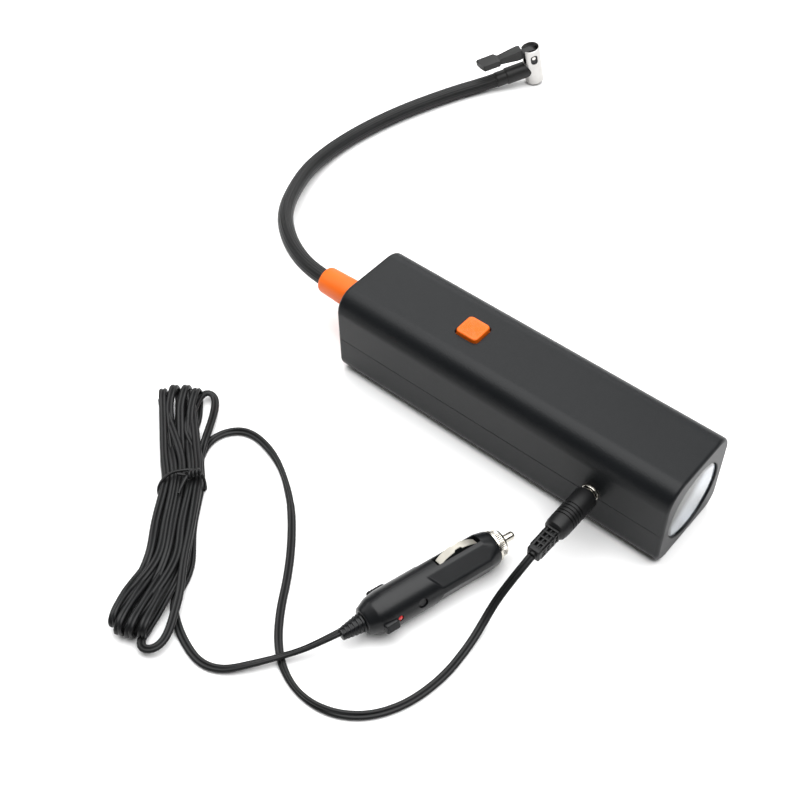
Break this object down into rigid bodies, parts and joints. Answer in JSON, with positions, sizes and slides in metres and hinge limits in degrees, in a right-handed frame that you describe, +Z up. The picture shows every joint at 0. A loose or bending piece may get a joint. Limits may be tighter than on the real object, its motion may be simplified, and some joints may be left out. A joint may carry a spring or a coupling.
{
  "type": "portable tire inflator",
  "caption": "Hand-held rechargeable tyre inflator: rounded black box with lamp and power button, air hose with lever chuck, charging lead with 12 V plug.",
  "frame": {"origin": "under the middle of the housing, on the flat face it stands on", "axes": "+X along the housing to the lamp, +Y to the back, away from the charging socket, +Z up"},
  "size_m": [0.3467, 0.4942, 0.0585],
  "materials": {
    "housing_plastic": "satin, fine grain",
    "steel": "plain",
    "clear_lens": "clear",
    "reflector_silver": "vacuum metallised",
    "board_green": "lacquered",
    "lamp_yellow": "clear over phosphor",
    "accent_orange": "satin",
    "black_plastic": "satin",
    "nickel": "nickel plated",
    "magnet_grey": "matt",
    "rotor_copper": "enamelled wire on laminations",
    "brass": "turned",
    "ivory_plastic": "moulded",
    "cast_alloy": "die cast",
    "seal_rubber": "smooth",
    "battery_wrap": "shrink wrap over steel cans",
    "hose_rubber": "fine ribs",
    "chrome_sleeve": "satin plated",
    "cord_rubber": "satin",
    "tie_plastic": "soft",
    "plug_plastic": "satin",
    "red_lamp": "clear red",
    "fuse_glass": "glass tube"
  },
  "bodies": {
    "casing": {"upper_housing": "housing_plastic", "lower_housing": "housing_plastic", "housing_screws": "steel", "lens": "clear_lens", "reflector": "reflector_silver", "led_board": "board_green", "led_emitter": "lamp_yellow", "hose_collar": "accent_orange", "dc_jack": "black_plastic", "dc_jack_ring": "nickel", "jack_pin": "nickel", "switch_body": "steel", "main_board": "board_green", "board_screws": "steel", "motor_can": "steel", "motor_magnets": "magnet_grey", "motor_end_cap": "ivory_plastic", "pump_frame": "cast_alloy", "crank_axle": "steel", "pump_cylinder": "cast_alloy", "cylinder_head": "cast_alloy", "hose_barb": "brass", "battery_cells": "battery_wrap", "battery_holder": "black_plastic", "air_hose": "hose_rubber", "hose_ferrule": "black_plastic", "chuck_sleeve": "chrome_sleeve", "chuck_core": "black_plastic", "chuck_grommet": "seal_rubber", "chuck_pin": "nickel"},
    "button": {"power_button": "accent_orange", "switch_plunger": "black_plastic"},
    "rotor": {"motor_rotor": "rotor_copper", "motor_shaft": "steel", "motor_pinion": "brass"},
    "crank": {"crank_gear": "ivory_plastic", "crank_bush": "brass", "crank_pin": "steel"},
    "piston": {"piston_rod": "cast_alloy", "piston_cup": "seal_rubber"},
    "lever": {"chuck_lever": "black_plastic"},
    "squeeze_piston": {"chuck_piston": "brass"},
    "lead": {"dc_plug_grip": "cord_rubber", "dc_plug_barrel": "nickel", "dc_plug_relief": "cord_rubber", "power_cord_near": "cord_rubber", "cord_hank": "cord_rubber", "twist_tie": "tie_plastic", "power_cord_far": "cord_rubber", "plug_relief": "cord_rubber", "plug_shell_left": "plug_plastic", "plug_shell_right": "plug_plastic", "plug_screw": "steel", "plug_lamp": "red_lamp", "tip_spring": "steel", "plug_fuse": "fuse_glass"},
    "contact": {"tip_contact": "nickel"},
    "cap": {"tip_ring": "nickel"},
    "leaf_top": {"ground_spring_top": "nickel"},
    "leaf_bottom": {"ground_spring_bottom": "nickel"}
  },
  "joints": [
    {"name": "button_press", "type": "slide", "parent": "casing", "child": "button", "axis": [0, 0, -1], "range_m": [0, 0.0015], "stiffness_N_per_m": 300},
    {"name": "motor_spin", "type": "hinge", "parent": "casing", "child": "rotor", "pos_m": [-0.008, 0, 0.03], "axis": [0, 0, 1], "continuous": true},
    {"name": "crank_spin", "type": "hinge", "parent": "casing", "child": "crank", "pos_m": [-0.02605, 0, 0.007], "axis": [0, 0, 1], "continuous": true},
    {"name": "piston_stroke", "type": "slide", "parent": "casing", "child": "piston", "axis": [-1, 0, 0], "range_m": [0, 0.008]},
    {"name": "lever_lift", "type": "hinge", "parent": "casing", "child": "lever", "pos_m": [-0.18577, 0.26131, 0.02264], "axis": [-0.8387, 0.5446, 0], "range_deg": [0, 90]},
    {"name": "grommet_squeeze", "type": "slide", "parent": "casing", "child": "squeeze_piston", "axis": [0.1039, 0.16, -0.9816], "range_m": [0, 0.0013]},
    {"name": "charging_plug_pull", "type": "slide", "parent": "casing", "child": "lead", "axis": [0, -1, 0], "range_m": [0, 0.014]},
    {"name": "tip_press", "type": "slide", "parent": "lead", "child": "contact", "axis": [-0.2756, -0.9613, 0], "range_m": [0, 0.0032], "stiffness_N_per_m": 300},
    {"name": "cap_turn", "type": "hinge", "parent": "lead", "child": "cap", "pos_m": [0.04027, -0.07196, 0.0105], "axis": [0.2756, 0.9613, 0], "continuous": true},
    {"name": "top_leaf_press", "type": "slide", "parent": "lead", "child": "leaf_top", "axis": [0.3288, -0.0943, -0.9397], "range_m": [0, 0.0015], "stiffness_N_per_m": 150},
    {"name": "bottom_leaf_press", "type": "slide", "parent": "lead", "child": "leaf_bottom", "axis": [-0.3288, 0.0943, 0.9397], "range_m": [0, 0.0015], "stiffness_N_per_m": 150}
  ],
  "couplings": [
    {"joint": "crank_spin", "follows": "motor_spin", "ratio": -0.25},
    {"joint": "grommet_squeeze", "follows": "lever_lift", "m_per_rad": 0.000827}
  ]
}
